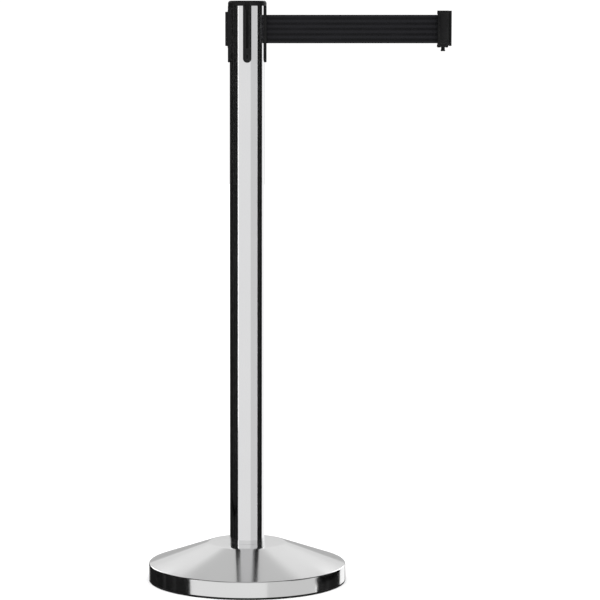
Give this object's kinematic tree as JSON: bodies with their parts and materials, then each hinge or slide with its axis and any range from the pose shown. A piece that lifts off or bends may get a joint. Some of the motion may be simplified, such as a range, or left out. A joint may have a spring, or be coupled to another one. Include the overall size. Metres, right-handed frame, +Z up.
{
  "type": "retractable belt stanchion",
  "caption": "Free-standing crowd-control post with a weighted cone base, polished tube and black four-way head, its webbing belt drawn out to a belt end with a locking knob.",
  "frame": {"origin": "the post's axis at floor level, on the underside of the floor pad", "axes": "+Z up along the post; the belt leaves the head along +X; the front receiver faces -Y"},
  "size_m": [0.5406, 0.356, 1.042],
  "materials": {
    "polished_steel": "mirror-polished stainless tube",
    "satin_steel": "satin-polished spun stainless, turned round the post",
    "cast_iron": "rough black cast iron",
    "black_rubber": "matt black moulded rubber",
    "zinc_steel": "zinc-plated steel",
    "black_plastic": "fine-grained black moulding",
    "nylon": "natural nylon",
    "brass": "turned brass",
    "spring_steel": "blued spring steel",
    "black_webbing": "ribbed black polyester webbing"
  },
  "bodies": {
    "root": {"axle_retaining_ring": "zinc_steel", "base_bolt": "zinc_steel", "base_cover": "satin_steel", "base_washer": "zinc_steel", "base_weight": "cast_iron", "belt_guide_pin_1": "zinc_steel", "belt_guide_pin_2": "zinc_steel", "belt_outlet": "black_plastic", "brake_ring": "zinc_steel", "cap_screw_1": "zinc_steel", "cap_screw_2": "zinc_steel", "cassette_housing": "black_plastic", "cassette_lid": "black_plastic", "floor_pad": "black_rubber", "mainspring": "spring_steel", "post_foot_plug": "zinc_steel", "post_tube": "polished_steel", "receiver_front": "black_plastic", "receiver_left": "black_plastic", "receiver_rear": "black_plastic", "slot_clip": "black_plastic", "spool_axle": "zinc_steel", "spring_cup": "zinc_steel", "spring_cup_cover": "zinc_steel", "top_cap": "black_plastic"},
    "belt_end": {"belt": "black_webbing", "belt_end_front": "black_plastic", "belt_end_rear": "black_plastic", "belt_end_inset": "black_plastic", "belt_pin": "zinc_steel", "belt_end_screw_1": "zinc_steel", "belt_end_screw_2": "zinc_steel", "belt_end_screw_3": "zinc_steel", "t_bar": "black_plastic", "lock_spring": "spring_steel"},
    "lock": {"lock_knob": "black_plastic"},
    "spool": {"spool": "nylon", "spool_bush_lower": "brass", "spool_bush_upper": "brass", "belt_roll": "black_webbing"},
    "brake_shoe_1": {"brake_shoe_1": "nylon"},
    "brake_shoe_2": {"brake_shoe_2": "nylon"}
  },
  "joints": [
    {"name": "belt_pull", "type": "slide", "parent": "root", "child": "belt_end", "axis": [1, 0, 0], "range_m": [-0.301, 1.97], "deforming": ["belt"]},
    {"name": "spool_spin", "type": "hinge", "parent": "root", "child": "spool", "pos_m": [0, 0, 0.992], "axis": [0, 0, 1], "continuous": true, "deforming": ["mainspring"]},
    {"name": "lock_press", "type": "slide", "parent": "belt_end", "child": "lock", "axis": [0, 0, 1], "range_m": [0, 0.002], "stiffness_N_per_m": 400, "deforming": ["lock_spring"]},
    {"name": "brake_shoe_1_out", "type": "slide", "parent": "spool", "child": "brake_shoe_1", "axis": [1, 0, 0], "range_m": [0, 0.0006]},
    {"name": "brake_shoe_2_out", "type": "slide", "parent": "spool", "child": "brake_shoe_2", "axis": [-1, 0, 0], "range_m": [0, 0.0006]}
  ],
  "couplings": [
    {"joint": "spool_spin", "follows": "belt_pull", "rad_per_m": -68}
  ]
}
